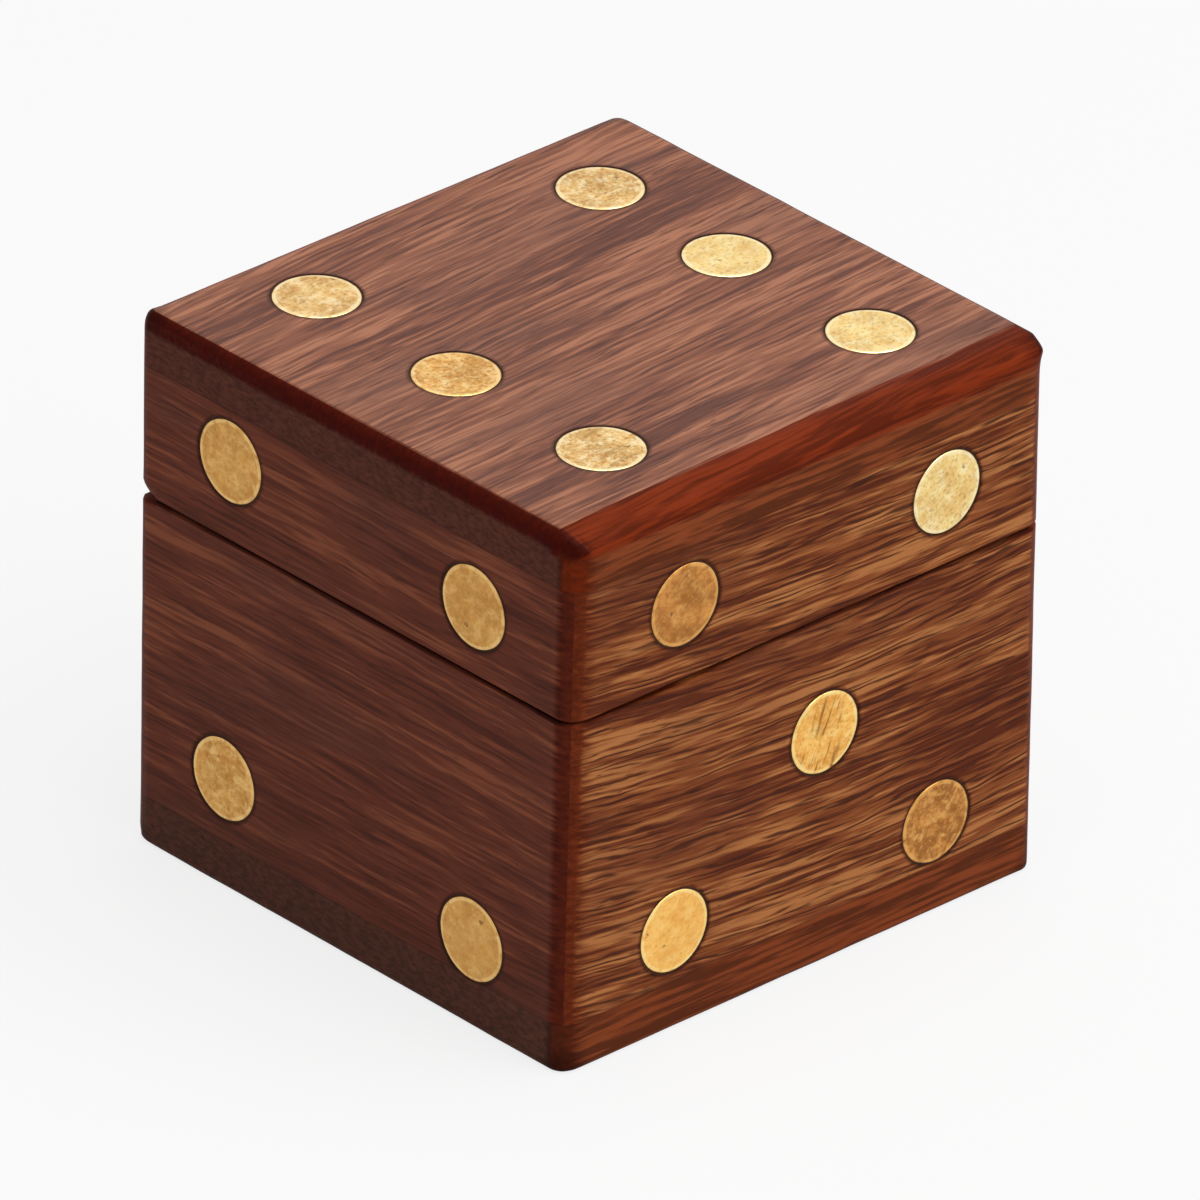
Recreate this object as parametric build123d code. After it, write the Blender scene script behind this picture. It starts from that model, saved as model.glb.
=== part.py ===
"""Wooden dice box with a hinged lid: a box shaped like a die, inlaid with brass pips.

Sizes are in millimetres and +Z is up. The origin is the centre of the underside of the base, +X runs to
the box's right-hand side and +Y to its back, where the hinges are. The box is five mitred and glued
boards below the seam and five above it. The roundings are cut on one closed outer form, so they run on
from board to board, and the seam is sawn through that form.
"""
from build123d import *
from math import radians, tan
import os

# Outer form
width = 63.5                # left to right, without anything standing proud
depth = 62.5                # front to back, without the hinge barrels
base_height = 38.7          # underside to the rim of the base
lid_height = 20.2           # rim of the lid to its top
seam_gap = 0.2              # saw line between the closed rims

# Boards
wall_thickness = 6.0        # the eight upright boards
bottom_thickness = 5.4      # board under the base walls
top_thickness = 5.8         # board over the lid walls

# Roundings, sanded by hand and so different on each side
front_top_round = 3.2       # long edge between the top and the front
left_round = 2.4            # outline of the left face: its top edge and its front corner
right_round = 2.0           # outline of the right face: its top edge and its front corner
back_round = 1.7            # outline of the back face
foot_round = 0.6            # edge round the underside
rim_ease = 0.25             # arris taken off both rims, outside

# Brass pips
pip_diameter = 9.0
pip_thickness = 1.2
pip_glue_line = 0.12        # dark ring between a pip and the wall of its recess
pip_margin = 13.0           # edges of a face to the centres of its outer pips, as marked out
pip_slip = 0.1              # step in which the drill slipped off those marks, listed further down

# Hinges: two small brass butt hinges let into the back rims
hinge_length = 15.0
hinge_inset = 15.75         # side face of the box to the middle of the hinge
leaf_width = 4.5            # pin axis to the free edge of a leaf
leaf_thickness = 0.8
barrel_radius = 1.4
knuckle_count = 3           # odd: the base leaf has the outermost ones
knuckle_gap = 0.1           # along the pin, between neighbouring knuckles
knuckle_swing_gap = 0.15    # knuckle to the leaf that it turns past
barrel_pocket_gap = 0.2     # barrel to the wood round it
mortise_gap = 0.1           # leaf edges to the mortise round them
pin_inset = 0.6             # back face of the box to the pin axis
pin_radius = 0.6
pin_running_gap = 0.03      # radial, in every knuckle
pin_head_radius = 0.95
pin_head_length = 0.35
lid_opening = 105.0         # degrees that the lid swings up
stop_spare = 1.0            # degrees that the bevelled back edges leave beyond that before they meet

# Nails that hold the hinge leaves
nail_radius = 0.45
nail_length = 5.0
nail_point = 1.0
nail_tip_radius = 0.05
nail_head_radius = 1.0
nail_head_depth = 0.5
nail_end_inset = 3.0        # end of the leaf to the nail
nail_edge_inset = 1.5       # free edge of the leaf to the nail
nail_fit = 0.02             # all round the nail, in leaf and wood

same_place = 0.01           # edges this close to a wanted place count as lying there

# Heights and planes that follow
height = base_height + seam_gap + lid_height
lid_rim = base_height + seam_gap
pin_z = base_height + seam_gap / 2
pin_y = depth / 2 - pin_inset
hinge_centres = {"left": -width / 2 + hinge_inset, "right": width / 2 - hinge_inset}
pocket_half_length = hinge_length / 2 + pin_head_length + barrel_pocket_gap

# Pips of each face: column and row, from -1 to 1 with 0 half way, then the slips of the drill off that
# place, across and up, in steps of pip_slip. Across is +X, or +Y on the side faces; up is +Z, or +Y on
# the top and the underside.
pip_faces = {
    "top": [(-1, 1, 19, 36), (-1, 0, 15, 14), (-1, -1, 20, -5), (1, 1, 7, 20), (1, 0, 6, 20), (1, -1, 6, -2)],
    "front": [(-1, 1, 18, 11), (1, 1, -8, 10), (0, 0, 24, -36), (-1, -1, 16, -20), (1, -1, -8, -28)],
    "left": [(1, 1, -5, 16), (-1, 1, 11, 2), (1, -1, -4, -8), (-1, -1, 3, -33)],
    "right": [(1, 1, -3, 4), (0, 0, -5, -13), (-1, -1, 10, -13)],
    "back": [(-1, 1, 8, 7), (1, -1, -15, -12)],
    "bottom": [(0, 0, 0, 0)],
}
# For each face: the axis across it, its outward normal, and its middle
face_frames = {
    "top": ((1, 0, 0), (0, 0, 1), (0, 0, height)),
    "front": ((1, 0, 0), (0, -1, 0), (0, -depth / 2, height / 2)),
    "left": ((0, 1, 0), (-1, 0, 0), (-width / 2, 0, height / 2)),
    "right": ((0, 1, 0), (1, 0, 0), (width / 2, 0, height / 2)),
    "back": ((1, 0, 0), (0, 1, 0), (0, depth / 2, height / 2)),
    "bottom": ((1, 0, 0), (0, 0, -1), (0, 0, 0)),
}


def block(low, high):
    """A plain block between two opposite corners."""
    size = Vector(*high) - Vector(*low)
    return Pos(*((Vector(*high) + Vector(*low)) * 0.5)) * Box(size.X, size.Y, size.Z)


def cylinder_x(x_low, x_high, radius):
    """A round bar along X on the pin axis."""
    bar = Rot(0, 90, 0) * Cylinder(radius, x_high - x_low)
    return Pos((x_low + x_high) / 2, pin_y, pin_z) * bar


def straight_edge(solid, axis, x=None, y=None, z=None):
    """The longest edge along an axis whose middle has the given coordinates."""
    def near(value, wanted):
        return wanted is None or abs(value - wanted) < same_place

    edges = [edge for edge in solid.edges().filter_by(axis)
             if near(edge.center().X, x) and near(edge.center().Y, y) and near(edge.center().Z, z)]
    return max(edges, key=lambda edge: edge.length)


def outer_form():
    """The closed box with every outside edge rounded; each fillet runs on round its face's outline."""
    form = block((-width / 2, -depth / 2, 0), (width / 2, depth / 2, height))
    form = fillet(straight_edge(form, Axis.X, y=-depth / 2, z=height), front_top_round)
    form = fillet(straight_edge(form, Axis.Y, x=-width / 2, z=height), left_round)
    form = fillet(straight_edge(form, Axis.Y, x=width / 2, z=height), right_round)
    form = fillet(straight_edge(form, Axis.X, y=depth / 2, z=height), back_round)
    return fillet(straight_edge(form, Axis.X, y=-depth / 2, z=0), foot_round)


def stop_bevel():
    """The V cut along the back seam, which makes room for the lid to swing and stops it in the end."""
    reach = 2 * pin_inset
    rise = reach * tan(radians(lid_opening + stop_spare) / 2)
    outer_y = pin_y + reach
    profile = Polyline((pin_y, pin_z), (outer_y, pin_z + rise), (outer_y, pin_z - rise), close=True)
    face = Plane.YZ * make_face(profile)
    return Pos(-width, 0, 0) * extrude(face, 2 * width)


def eased_rim(form, rim):
    """The arris taken off the outside of a rim, on the front and the two sides."""
    outline = [edge for edge in form.edges()
               if abs(edge.bounding_box().min.Z - rim) < same_place
               and abs(edge.bounding_box().max.Z - rim) < same_place]
    return chamfer([edge for edge in outline if edge.center().Y < pin_y - barrel_radius], rim_ease)


def board_plans():
    """Plan outline of each mitred wall, outer corners first."""
    x, y = width / 2, depth / 2
    inner_x, inner_y = x - wall_thickness, y - wall_thickness
    return {
        "front": [(-x, -y), (x, -y), (inner_x, -inner_y), (-inner_x, -inner_y)],
        "back": [(x, y), (-x, y), (-inner_x, inner_y), (inner_x, inner_y)],
        "left": [(-x, y), (-x, -y), (-inner_x, -inner_y), (-inner_x, inner_y)],
        "right": [(x, -y), (x, y), (inner_x, inner_y), (inner_x, -inner_y)],
    }


def walls(form, low, high):
    """The four mitred walls between two heights, cut from a form."""
    boards = {}
    for side, plan in board_plans().items():
        prism = extrude(Pos(0, 0, low) * make_face(Polyline(*plan, close=True)), high - low)
        boards[side] = form & prism
    return boards


def pip_places(face):
    """Outward plane at the centre of each pip on a face."""
    across, normal, middle = face_frames[face]
    side_face = normal[0] != 0
    level_face = normal[2] != 0
    column_reach = (depth if side_face else width) / 2 - pip_margin
    row_reach = (depth if level_face else height) / 2 - pip_margin
    upward = Vector(0, 1, 0) if level_face else Vector(0, 0, 1)
    places = []
    for column, row, slip_across, slip_up in pip_faces[face]:
        u = column * column_reach + slip_across * pip_slip
        v = row * row_reach + slip_up * pip_slip
        centre = Vector(*middle) + Vector(*across) * u + upward * v
        places.append(Plane(origin=centre, x_dir=across, z_dir=normal))
    return places


def inlaid_disc(place, radius):
    """A disc whose outer face is flush with the face of the box."""
    return place * Pos(0, 0, -pip_thickness / 2) * Cylinder(radius, pip_thickness)


def knuckle_spans(for_lid):
    """Ends along the hinge of the knuckles of one leaf, from the middle of the hinge."""
    pitch = (hinge_length + knuckle_gap) / knuckle_count
    starts = [-hinge_length / 2 + index * pitch for index in range(1 if for_lid else 0, knuckle_count, 2)]
    return [(start, start + pitch - knuckle_gap) for start in starts]


def nail_spots(centre):
    """Plan positions of the nails of one leaf."""
    reach = hinge_length / 2 - nail_end_inset
    return [(centre - reach, pin_y - leaf_width + nail_edge_inset),
            (centre + reach, pin_y - leaf_width + nail_edge_inset)]


def nail(x, y, for_lid, extra=0.0):
    """A countersunk nail driven into a rim, or with extra the hole for it."""
    radius = nail_radius + extra
    shank_length = nail_length - nail_point
    shank = Pos(0, 0, -shank_length / 2) * Cylinder(radius, shank_length)
    head = Pos(0, 0, -nail_head_depth / 2) * Cone(radius, nail_head_radius + extra, nail_head_depth)
    point = Pos(0, 0, -shank_length - nail_point / 2) * Cone(nail_tip_radius + extra, radius, nail_point)
    turn = Rot(180, 0, 0) if for_lid else Rot(0, 0, 0)
    return Pos(x, y, lid_rim if for_lid else base_height) * turn * (shank + head + point)


def leaf_slab(centre, for_lid, edge=0.0):
    """The flat of a leaf, or with an edge the mortise that it lies in."""
    floor = lid_rim if for_lid else base_height - leaf_thickness
    half = hinge_length / 2 + edge
    return block((centre - half, pin_y - leaf_width - edge, floor),
                 (centre + half, pin_y + (pin_inset if edge else 0.0), floor + leaf_thickness))


def hinge_leaf(centre, for_lid):
    """One leaf with its knuckles, bored for the pin and drilled for its nails."""
    leaf = leaf_slab(centre, for_lid)
    for low, high in knuckle_spans(not for_lid):
        clear = cylinder_x(centre + low - knuckle_gap, centre + high + knuckle_gap,
                           barrel_radius + knuckle_swing_gap)
        leaf -= clear
    for low, high in knuckle_spans(for_lid):
        leaf += cylinder_x(centre + low, centre + high, barrel_radius)
    leaf -= cylinder_x(centre - hinge_length, centre + hinge_length, pin_radius + pin_running_gap)
    for x, y in nail_spots(centre):
        leaf -= nail(x, y, for_lid, nail_fit)
    return leaf


def hinge_pin(centre):
    """The pin with its two peened heads."""
    half = hinge_length / 2
    pin = cylinder_x(centre - half, centre + half, pin_radius)
    for low in (-half - pin_head_length, half):
        pin += cylinder_x(centre + low, centre + low + pin_head_length, pin_head_radius)
    return pin


def hinge_seat(centre, for_lid):
    """What is cut out of a back wall for one hinge: mortise, barrel pocket and nail holes."""
    seat = leaf_slab(centre, for_lid, mortise_gap)
    seat += cylinder_x(centre - pocket_half_length, centre + pocket_half_length,
                       barrel_radius + barrel_pocket_gap)
    for x, y in nail_spots(centre):
        seat += nail(x, y, for_lid, nail_fit)
    return seat


def write(shape, name):
    """One node: the solid, or the group of solids, in its own file."""
    shape.label = name
    export_step(shape, f"parts/{name}.step")


os.makedirs("parts", exist_ok=True)

whole = outer_form() - stop_bevel()
for face in pip_faces:
    for number, place in enumerate(pip_places(face), 1):
        whole -= inlaid_disc(place, pip_diameter / 2 + pip_glue_line)
        write(inlaid_disc(place, pip_diameter / 2), f"{face}_pip_{number}")

far = 2 * (width + depth)
base_form = eased_rim(whole & block((-far, -far, -far), (far, far, base_height)), base_height)
lid_form = eased_rim(whole & block((-far, -far, lid_rim), (far, far, far)), lid_rim)

boards = {
    "base_bottom": base_form & block((-far, -far, -far), (far, far, bottom_thickness)),
    "lid_top": lid_form & block((-far, -far, height - top_thickness), (far, far, far)),
}
for side, board in walls(base_form, bottom_thickness, base_height).items():
    boards[f"base_{side}_wall"] = board
for side, board in walls(lid_form, lid_rim, height - top_thickness).items():
    boards[f"lid_{side}_wall"] = board

for centre in hinge_centres.values():
    boards["base_back_wall"] -= hinge_seat(centre, False)
    boards["lid_back_wall"] -= hinge_seat(centre, True)

for name, board in boards.items():
    write(board, name)

for side, centre in hinge_centres.items():
    write(hinge_leaf(centre, False), f"{side}_hinge_base_leaf")
    write(hinge_leaf(centre, True), f"{side}_hinge_lid_leaf")
    write(hinge_pin(centre), f"{side}_hinge_pin")
for for_lid, body in ((False, "base"), (True, "lid")):
    spots = [spot for centre in hinge_centres.values() for spot in nail_spots(centre)]
    write(Compound(children=[nail(x, y, for_lid) for x, y in spots]), f"{body}_hinge_nails")
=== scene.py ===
"""Everything is in metres in the row frame: +Z up, the front faces -Y and the hinges are at the back.
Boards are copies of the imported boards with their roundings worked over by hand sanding; pips are turned
discs with a rounded rim; hinge leaves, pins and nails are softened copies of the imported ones.
"""

import logging
import math
from dataclasses import dataclass
from enum import Enum
from functools import reduce
from typing import Any, Iterable, Sequence, Union

import bmesh
import bpy
from mathutils import Matrix, Vector, noise


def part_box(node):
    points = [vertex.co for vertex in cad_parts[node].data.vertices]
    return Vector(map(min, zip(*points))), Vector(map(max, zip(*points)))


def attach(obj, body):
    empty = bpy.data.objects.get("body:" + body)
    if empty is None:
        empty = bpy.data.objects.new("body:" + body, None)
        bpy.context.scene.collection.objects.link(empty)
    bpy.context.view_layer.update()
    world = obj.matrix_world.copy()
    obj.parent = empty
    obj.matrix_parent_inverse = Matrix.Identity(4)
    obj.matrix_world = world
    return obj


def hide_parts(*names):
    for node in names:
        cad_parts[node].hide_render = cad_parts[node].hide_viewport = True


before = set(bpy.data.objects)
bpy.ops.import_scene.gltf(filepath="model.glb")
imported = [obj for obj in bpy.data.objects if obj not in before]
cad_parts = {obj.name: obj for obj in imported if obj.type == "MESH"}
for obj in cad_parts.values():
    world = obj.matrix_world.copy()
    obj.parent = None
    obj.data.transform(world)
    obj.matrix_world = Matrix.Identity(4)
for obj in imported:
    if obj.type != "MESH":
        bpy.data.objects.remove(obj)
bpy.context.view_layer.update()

log = logging.getLogger("dice_box")

MM = 0.001
Number = Union[int, float]
Colour = tuple[float, float, float]


def linear(red: int, green: int, blue: int) -> Colour:
    """Linear colour of an sRGB colour given in 0 to 255.

    Args:
        red: red channel.
        green: green channel.
        blue: blue channel.

    Returns:
        The three linear channels, 0 to 1.
    """
    def channel(value: int) -> float:
        """One channel, by the curve of the sRGB standard."""
        part = value / 255
        return part / 12.92 if part <= 0.04045 else ((part + 0.055) / 1.055) ** 2.4

    return channel(red), channel(green), channel(blue)


# ---------------------------------------------------------------------------------------------------
# Shader building


class Value:
    """A node socket that takes part in Python expressions; each operator adds a Math node."""

    def __init__(self, shader: "Shader", socket: bpy.types.NodeSocket) -> None:
        """Wraps a socket of a shader."""
        self.shader = shader
        self.socket = socket

    def _math(self, operation: str, *terms: "Value | Number", clamp: bool = False) -> "Value":
        """Adds one Math node that works on these terms, its result limited to 0 to 1 if wanted."""
        return self.shader.node("ShaderNodeMath", {"operation": operation, "use_clamp": clamp},
                                dict(enumerate(terms)))

    def __add__(self, other: "Value | Number") -> "Value":
        """Sum."""
        return self._math("ADD", self, other)

    def __radd__(self, other: Number) -> "Value":
        """Sum with a number first."""
        return self._math("ADD", other, self)

    def __sub__(self, other: "Value | Number") -> "Value":
        """Difference."""
        return self._math("SUBTRACT", self, other)

    def __rsub__(self, other: Number) -> "Value":
        """Difference with a number first."""
        return self._math("SUBTRACT", other, self)

    def __mul__(self, other: "Value | Number") -> "Value":
        """Product."""
        return self._math("MULTIPLY", self, other)

    def __rmul__(self, other: Number) -> "Value":
        """Product with a number first."""
        return self._math("MULTIPLY", other, self)

    def __truediv__(self, other: "Value | Number") -> "Value":
        """Quotient."""
        return self._math("DIVIDE", self, other)

    def __rtruediv__(self, other: Number) -> "Value":
        """Quotient with a number first."""
        return self._math("DIVIDE", other, self)

    def __abs__(self) -> "Value":
        """Absolute value."""
        return self._math("ABSOLUTE", self)

    def least(self, other: "Value | Number") -> "Value":
        """The smaller of two."""
        return self._math("MINIMUM", self, other)

    def most(self, other: "Value | Number") -> "Value":
        """The larger of two."""
        return self._math("MAXIMUM", self, other)

    def clamped(self) -> "Value":
        """Limited to 0 to 1."""
        return self._math("ADD", self, 0.0, clamp=True)

    def root(self) -> "Value":
        """Square root."""
        return self._math("SQRT", self)

    def sine(self) -> "Value":
        """Sine, in radians."""
        return self._math("SINE", self)

    def step(self, low: float, high: float) -> "Value":
        """Smooth step from 0 at low to 1 at high, which may be the smaller of the two."""
        return self.shader.node("ShaderNodeMapRange", {"interpolation_type": "SMOOTHSTEP"},
                                {0: self, 1: low, 2: high, 3: 0.0, 4: 1.0})


class Shader:
    """One node tree under construction, that of a material or of the world."""

    def __init__(self, owner: "bpy.types.Material | bpy.types.World") -> None:
        """Empties the tree down to its output.

        Args:
            owner: the material or the world.
        """
        owner.use_nodes = True
        self.owner = owner
        self.tree = owner.node_tree
        self.tree.nodes.clear()
        world = isinstance(owner, bpy.types.World)
        self.output = self.tree.nodes.new("ShaderNodeOutputWorld" if world
                                          else "ShaderNodeOutputMaterial")

    def node(self, kind: str, settings: dict[str, Any] | None = None,
             inputs: dict[Any, Any] | None = None, output: Any = 0) -> Value:
        """Adds a node.

        Args:
            kind: the node's type.
            settings: properties set first; "stops" fills a colour ramp with (position, colour) pairs.
            inputs: socket name or index to a number, a colour, a vector or a Value.
            output: name or index of the output that is wanted.

        Returns:
            That output.
        """
        added = self.tree.nodes.new(kind)
        for key, value in (settings or {}).items():
            if key == "stops":
                self._fill_ramp(added.color_ramp, value)
            else:
                setattr(added, key, value)
        for key, value in (inputs or {}).items():
            if isinstance(value, Value):
                self.tree.links.new(value.socket, added.inputs[key])
            else:
                added.inputs[key].default_value = value
        return Value(self, added.outputs[output])

    @staticmethod
    def _fill_ramp(ramp: bpy.types.ColorRamp, stops: Sequence[tuple[float, Colour]]) -> None:
        """Sets a ramp's stops, with smooth passages between them.

        Args:
            ramp: the ramp.
            stops: pairs of position and colour.
        """
        ramp.interpolation = "EASE"
        while len(ramp.elements) > 1:
            ramp.elements.remove(ramp.elements[-1])
        ramp.elements[0].position = stops[0][0]
        ramp.elements[0].color = (*stops[0][1], 1.0)
        for position, colour in stops[1:]:
            ramp.elements.new(position).color = (*colour, 1.0)

    def place(self) -> Value:
        """The point in the object's own frame, in millimetres."""
        return self.scaled(self.node("ShaderNodeTexCoord", output="Object"), (1 / MM, 1 / MM, 1 / MM))

    def facing(self) -> Value:
        """The surface normal in the object's own frame."""
        return self.node("ShaderNodeTexCoord", output="Normal")

    def scaled(self, vector: Value, factors: Sequence[float]) -> Value:
        """A vector times three factors, one for each axis."""
        return self.node("ShaderNodeVectorMath", {"operation": "MULTIPLY"},
                         {0: vector, 1: tuple(factors)})

    def parts(self, vector: Value) -> tuple[Value, Value, Value]:
        """The three components of a vector."""
        first = self.node("ShaderNodeSeparateXYZ", None, {0: vector})
        return tuple(Value(self, socket) for socket in first.socket.node.outputs)

    def vector(self, x: "Value | Number", y: "Value | Number", z: "Value | Number") -> Value:
        """A vector from three components."""
        return self.node("ShaderNodeCombineXYZ", None, {0: x, 1: y, 2: z})

    def cloud(self, vector: Value, detail: float = 2.0, rough: float = 0.5,
              twist: float = 0.0) -> Value:
        """Noise from 0 to 1.

        Args:
            vector: where it is looked up.
            detail: number of finer layers.
            rough: how strong the finer layers are.
            twist: distortion.

        Returns:
            The noise.
        """
        return self.node("ShaderNodeTexNoise", None,
                         {"Vector": vector, "Scale": 1.0, "Detail": detail, "Roughness": rough,
                          "Distortion": twist})

    def cells(self, vector: Value) -> Value:
        """Distance to the nearest of many points, one strewn into each cell of size 1."""
        return self.node("ShaderNodeTexVoronoi", {"feature": "F1"},
                         {"Vector": vector, "Scale": 1.0, "Randomness": 1.0}, "Distance")

    def mix(self, share: "Value | Number", first: Any, second: Any, blend: str = "MIX") -> Value:
        """Mixes two colours.

        Args:
            share: how much of the second.
            first: colour, or Value that holds one.
            second: colour, or Value that holds one.
            blend: the Mix node's blend type.

        Returns:
            The mixed colour.
        """
        def colour(source: Any) -> Any:
            """A colour with its alpha, or the link as it is."""
            return source if isinstance(source, Value) else (*source, 1.0)

        return self.node("ShaderNodeMix", {"data_type": "RGBA", "blend_type": blend},
                         {0: share, 6: colour(first), 7: colour(second)}, 2)

    def ramp(self, value: Value, stops: Sequence[tuple[float, Colour]]) -> Value:
        """Colour at a position on a ramp, whose stops are pairs of position and colour."""
        return self.node("ShaderNodeValToRGB", {"stops": stops}, {0: value})

    def bump(self, height: Value, depth: float) -> Value:
        """Normal of a surface with a relief from 0 to 1, whose depth is in metres."""
        return self.node("ShaderNodeBump", None, {"Strength": 1.0, "Distance": depth, "Height": height})

    def close(self, surface: Value) -> None:
        """Leads a surface, or the world's background, to the output."""
        self.tree.links.new(surface.socket, self.output.inputs["Surface"])

    def finish(self, **sockets: Any) -> bpy.types.Material:
        """Adds the Principled shader and closes the material.

        Args:
            sockets: Principled inputs, with underscores for spaces.

        Returns:
            The finished material.
        """
        named = {key.replace("_", " "): value for key, value in sockets.items()}
        self.close(self.node("ShaderNodeBsdfPrincipled", None, named))
        return self.owner


# ---------------------------------------------------------------------------------------------------
# Finishes


class Lay(Enum):
    """How a board lies in the box: the axes along its grain, across its face and through it."""

    WALL_ALONG_X = (0, 2, 1)
    WALL_ALONG_Y = (1, 2, 0)
    FLAT_ALONG_X = (0, 1, 2)

    def order(self, axes: Sequence[Any]) -> tuple[Any, Any, Any]:
        """The three axes put in the order along, across, through."""
        return tuple(axes[index] for index in self.value)


@dataclass(frozen=True)
class Outline:
    """Outer faces and joints of the box, which stands on the origin, in millimetres.

    Attributes:
        half_x: half its width.
        half_y: half its depth.
        top: height of its top.
        seam: height of the seam between base and lid.
        joints: heights at which the bottom board and the top board meet the walls.
        front_fades: where the rubbed colour, which is partly painted shade, fades, counted in from the
            front face and from the top.
        left_fades: the same, from the left face and from the top.
        corner_fades: the same, from the left face and from the front face.
        front_slant: how much the band at the front widens with each millimetre to the right.
        left_slant: how much the band at the left widens with each millimetre to the front.
    """

    half_x: float
    half_y: float
    top: float
    seam: float
    joints: tuple[float, float]

    front_fades = ((4.4, 3.9), (2.7, 2.1))
    left_fades = ((1.0, 0.3), (2.2, 1.6))
    corner_fades = ((3.7, 0.6), (2.8, 1.7))
    front_slant = 0.018
    left_slant = 0.011

    @staticmethod
    def of_frame() -> "Outline":
        """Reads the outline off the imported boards.

        Returns:
            The outline.
        """
        low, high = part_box("lid_top")
        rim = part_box("base_front_wall")[1].z
        lid_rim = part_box("lid_front_wall")[0].z
        return Outline(high.x / MM, high.y / MM, high.z / MM, (rim + lid_rim) / 2 / MM,
                       (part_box("base_bottom")[1].z / MM, low.z / MM))

    def depths(self, x: Value, y: Value, z: Value) -> tuple[Value, Value, Value]:
        """How deep a point lies inside the box.

        Args:
            x: its place across the box, in millimetres.
            y: its place along the box's depth.
            z: its height.

        Returns:
            Its depth under the nearest outer face and under the next nearest, and the sum of all three.
        """
        side_in, front_in, level_in = self.half_x - abs(x), self.half_y - abs(y), (self.top - z).least(z)
        nearest = side_in.least(front_in).least(level_in)
        next_nearest = (side_in.most(front_in).least(side_in.most(level_in))
                        .least(front_in.most(level_in)))
        return nearest, next_nearest, side_in + front_in + level_in

    def rubbed(self, x: Value, y: Value, z: Value, stray: Value) -> Value:
        """Where hands have rubbed the three edges at the front and the left, bands that also carry
        painted shade where the edges catch no sheen.

        Args:
            x: place across the box, in millimetres.
            y: place along its depth.
            z: height.
            stray: small change that makes the borders of the bands waver.

        Returns:
            1 in the bands and 0 away from them.
        """
        left_in, front_in, top_in = x + self.half_x, y + self.half_y, self.top - z
        over_front = ((front_in - x * self.front_slant + stray).step(*self.front_fades[0])
                      * (top_in + stray * 0.5).step(*self.front_fades[1]))
        over_left = ((left_in + y * self.left_slant + stray * 0.5).step(*self.left_fades[0])
                     * (top_in + stray * 0.3).step(*self.left_fades[1]))
        corner = ((left_in + stray).step(*self.corner_fades[0])
                  * (front_in + stray * 0.5).step(*self.corner_fades[1]))
        return over_front.most(over_left).most(corner)


@dataclass(frozen=True)
class WoodTint:
    """Colours of one board.

    Attributes:
        dark: its dark bands.
        middle: most of its face.
        light: its palest grain.
        streak: its pores and dark flecks.
        cast: what large patches drift to.
        worn: its sanded roundings, where the stain is deepest; their colour is partly painted shade where
            they catch no sheen.
        worn_and_shaded_ends: those of its end grain.
        edges: its long edges, if they differ from its face.
        ends: its end grain, if it shows.
    """

    dark: Colour
    middle: Colour
    light: Colour
    streak: Colour
    cast: Colour
    worn: Colour
    worn_and_shaded_ends: Colour
    edges: Colour | None = None
    ends: Colour | None = None


@dataclass(frozen=True)
class Grain:
    """How the grain runs on a board and how strongly each kind of figure shows.

    Attributes:
        tilt: slope against the board's long edge.
        bend: curvature along the board, per millimetre.
        crest: where along the board the bend is level, in millimetres.
        sway: slow wander across the board, in millimetres.
        ripple: short waves, in millimetres.
        zones: contrast of wide bands.
        ribbons: contrast of bands a few millimetres wide.
        threads: contrast of fine streaks.
        hairs: contrast of the finest lines.
        lines: strength of thin dark growth lines, 0 to 1.
        flecks: strength of dark flecks, 0 to 1.
        pores: strength of the open pores, 0 to 1.
        belts: growth belts as place across the board, half width and change of tone.
    """

    tilt: float = 0.0
    bend: float = 0.0
    crest: float = 0.0
    sway: float = 2.2
    ripple: float = 0.6
    zones: float = 1.0
    ribbons: float = 1.0
    threads: float = 1.6
    hairs: float = 0.7
    lines: float = 0.4
    flecks: float = 0.6
    pores: float = 0.5
    belts: tuple[tuple[float, float, float], ...] = ()


@dataclass(frozen=True)
class Spot:
    """Where a point of a board lies and faces, as values of its shader.

    Attributes:
        place: the point, in millimetres.
        x: its place across the box.
        y: its place along the box's depth.
        z: its height.
        along: how far it faces along the board's grain, 0 to 1.
        across: how far it faces across the grain, in the plane of the board.
        through: how far it faces straight out of the board.
        depth: its depth under the nearest outer face of the box.
        next_depth: its depth under the next nearest.
        corner_depth: the sum of its depths under the three faces nearest to it.
    """

    place: Value
    x: Value
    y: Value
    z: Value
    along: Value
    across: Value
    through: Value
    depth: Value
    next_depth: Value
    corner_depth: Value


@dataclass(frozen=True)
class Figure:
    """Layers of the wood's figure, as values of its shader from 0 to 1.

    Attributes:
        tone: dark bands at 0, palest grain at 1.
        ribbons: bands a few millimetres wide.
        threads: fine streaks.
        hairs: the finest lines.
        patch: large patches.
        flecks: dark flecks.
        lines: thin dark growth lines.
        pores: open pores.
    """

    tone: Value
    ribbons: Value
    threads: Value
    hairs: Value
    patch: Value
    flecks: Value
    lines: Value
    pores: Value


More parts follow.
